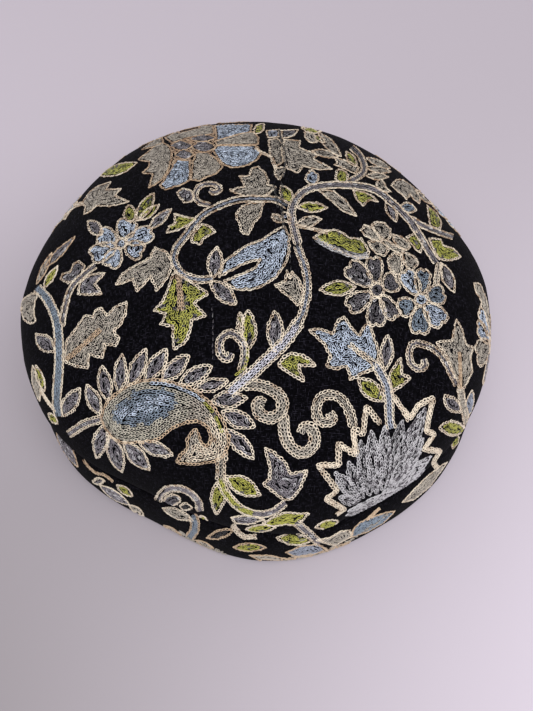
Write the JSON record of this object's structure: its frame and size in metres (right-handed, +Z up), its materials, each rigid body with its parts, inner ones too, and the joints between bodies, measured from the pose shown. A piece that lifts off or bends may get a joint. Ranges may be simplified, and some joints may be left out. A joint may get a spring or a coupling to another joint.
{
  "type": "embroidered cap",
  "caption": "Soft round cap of black cloth, with a darted domed crown sewn to an upright side band, embroidered all over with flowers, leaves and paisley.",
  "frame": {"origin": "centre of the rim, on the surface that the cap stands on", "axes": "+Z up to the top of the crown, -Y to the front, +X to the right as seen from the front"},
  "size_m": [0.1904, 0.1854, 0.098],
  "materials": {
    "crown_cloth": "black plain-woven cotton, chain-stitch embroidery",
    "band_cloth": "black plain-woven cotton, chain-stitch embroidery",
    "embroidery_thread": "silky twisted floss in cream, silver, blue, slate and green"
  },
  "bodies": {
    "root": {"crown": "crown_cloth", "side_band": "band_cloth"}
  },
  "joints": []
}
